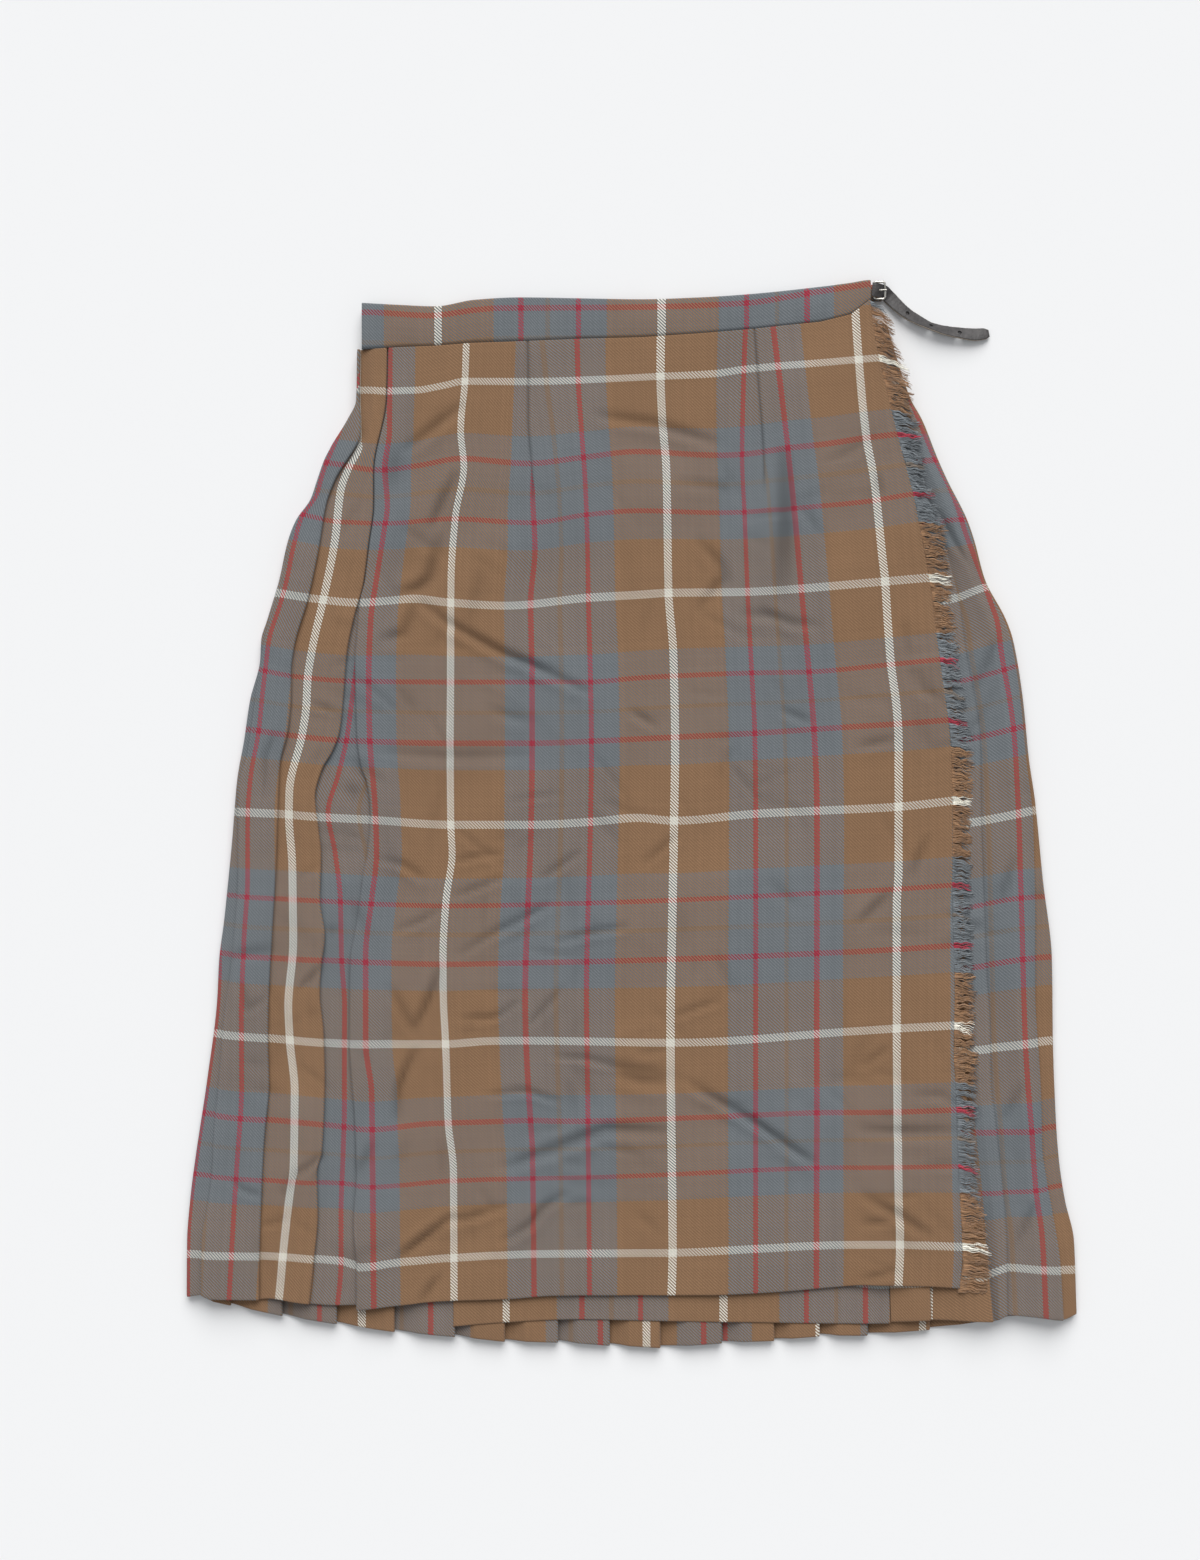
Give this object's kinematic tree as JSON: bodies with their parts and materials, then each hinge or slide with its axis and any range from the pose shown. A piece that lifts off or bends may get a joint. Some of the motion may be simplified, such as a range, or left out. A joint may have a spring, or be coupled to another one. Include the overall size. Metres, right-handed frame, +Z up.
{
  "type": "kilt skirt laid flat",
  "caption": "Wrap-over tartan wool kilt skirt laid flat, with a fringed over apron, knife pleats at the sides and back, a plain waistband and a buckled leather strap.",
  "frame": {"origin": "on the table, under the centre of the skirt's bounding box", "axes": "+Z up from the table it lies on, +Y from hem to waist, +X to the fringed edge of the over apron"},
  "size_m": [0.555, 0.6668, 0.0115],
  "materials": {
    "wool_tartan": "matt 2/2 wool twill in a brown and grey-blue tartan with red and white lines",
    "wool_fringe": "loose wool yarns in the colours of the tartan's cross threads",
    "strap_leather": "black grained leather with a pale cut edge and flesh side",
    "buckle_metal": "bright nickel plate"
  },
  "bodies": {
    "root": {"pleats_back": "wool_tartan", "pleats_left": "wool_tartan", "pleats_right": "wool_tartan", "under_apron": "wool_tartan", "over_apron": "wool_tartan", "apron_fringe": "wool_fringe", "waistband_back": "wool_tartan", "waistband_under": "wool_tartan", "waistband_front": "wool_tartan", "strap": "strap_leather", "buckle_frame": "buckle_metal", "buckle_prong": "buckle_metal"}
  },
  "joints": []
}
